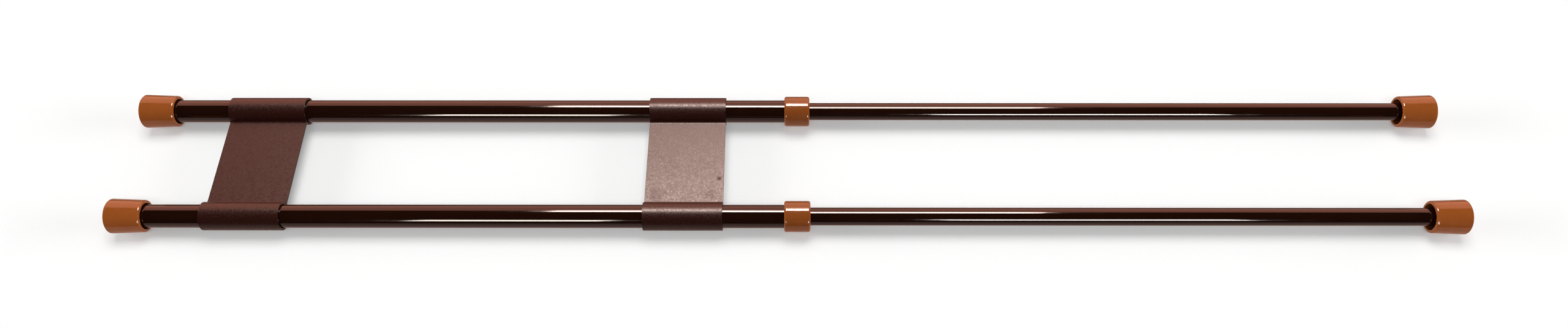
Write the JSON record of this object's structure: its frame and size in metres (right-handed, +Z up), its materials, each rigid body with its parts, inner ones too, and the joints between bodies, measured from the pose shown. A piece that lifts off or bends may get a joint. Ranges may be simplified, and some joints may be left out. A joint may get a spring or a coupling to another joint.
{
  "type": "double tension rod",
  "caption": "Spring-loaded telescoping tension rods held side by side by sliding flat bridge plates, with cup-shaped end caps and ring collars.",
  "frame": {"origin": "on the resting plane, under the middle of the object's box", "axes": "+X along the rods from the outer tubes' end to the inner tubes' end, +Y from the front rod to the rear rod, +Z up"},
  "size_m": [0.75, 0.0892, 0.0193],
  "materials": {
    "enamelled_steel": "gloss dark brown enamel",
    "cap_plastic": "gloss tan, moulded",
    "bridge_plastic": "fine matte brown, extruded",
    "black_plastic": "matte black, moulded",
    "guide_plastic": "natural satin, moulded",
    "spring_steel": "drawn spring wire"
  },
  "bodies": {
    "outer_rods": {"front_outer_cap": "cap_plastic", "front_outer_plug": "black_plastic", "front_outer_tube": "enamelled_steel", "front_collar": "cap_plastic", "front_guide_sleeve": "guide_plastic", "front_spring": "spring_steel", "rear_outer_cap": "cap_plastic", "rear_outer_plug": "black_plastic", "rear_outer_tube": "enamelled_steel", "rear_collar": "cap_plastic", "rear_guide_sleeve": "guide_plastic", "rear_spring": "spring_steel"},
    "front_follower": {"front_spring_follower": "black_plastic"},
    "front_inner_rod": {"front_inner_tube": "enamelled_steel", "front_inner_plug": "black_plastic", "front_inner_cap": "cap_plastic"},
    "rear_follower": {"rear_spring_follower": "black_plastic"},
    "rear_inner_rod": {"rear_inner_tube": "enamelled_steel", "rear_inner_plug": "black_plastic", "rear_inner_cap": "cap_plastic"},
    "outer_bridge": {"outer_bridge": "bridge_plastic"},
    "inner_bridge": {"inner_bridge": "bridge_plastic"}
  },
  "joints": [
    {"name": "front_telescope", "type": "slide", "parent": "outer_rods", "child": "front_follower", "axis": [-1, 0, 0], "range_m": [0, 0.25], "stiffness_N_per_m": 96, "springref_m": -0.03, "deforming": ["front_spring"]},
    {"name": "rear_telescope", "type": "slide", "parent": "outer_rods", "child": "rear_follower", "axis": [-1, 0, 0], "range_m": [0, 0.25], "stiffness_N_per_m": 96, "springref_m": -0.03, "deforming": ["rear_spring"]},
    {"name": "front_twist", "type": "hinge", "parent": "front_follower", "child": "front_inner_rod", "pos_m": [0.375, -0.035, 0.00965], "axis": [1, 0, 0], "continuous": true},
    {"name": "rear_twist", "type": "hinge", "parent": "rear_follower", "child": "rear_inner_rod", "pos_m": [0.375, 0.035, 0.00965], "axis": [1, 0, 0], "continuous": true},
    {"name": "outer_bridge_slide", "type": "slide", "parent": "outer_rods", "child": "outer_bridge", "axis": [1, 0, 0], "range_m": [-0.0315, 0.0995]},
    {"name": "inner_bridge_slide", "type": "slide", "parent": "outer_rods", "child": "inner_bridge", "axis": [1, 0, 0], "range_m": [-0.0995, 0.0337]}
  ]
}
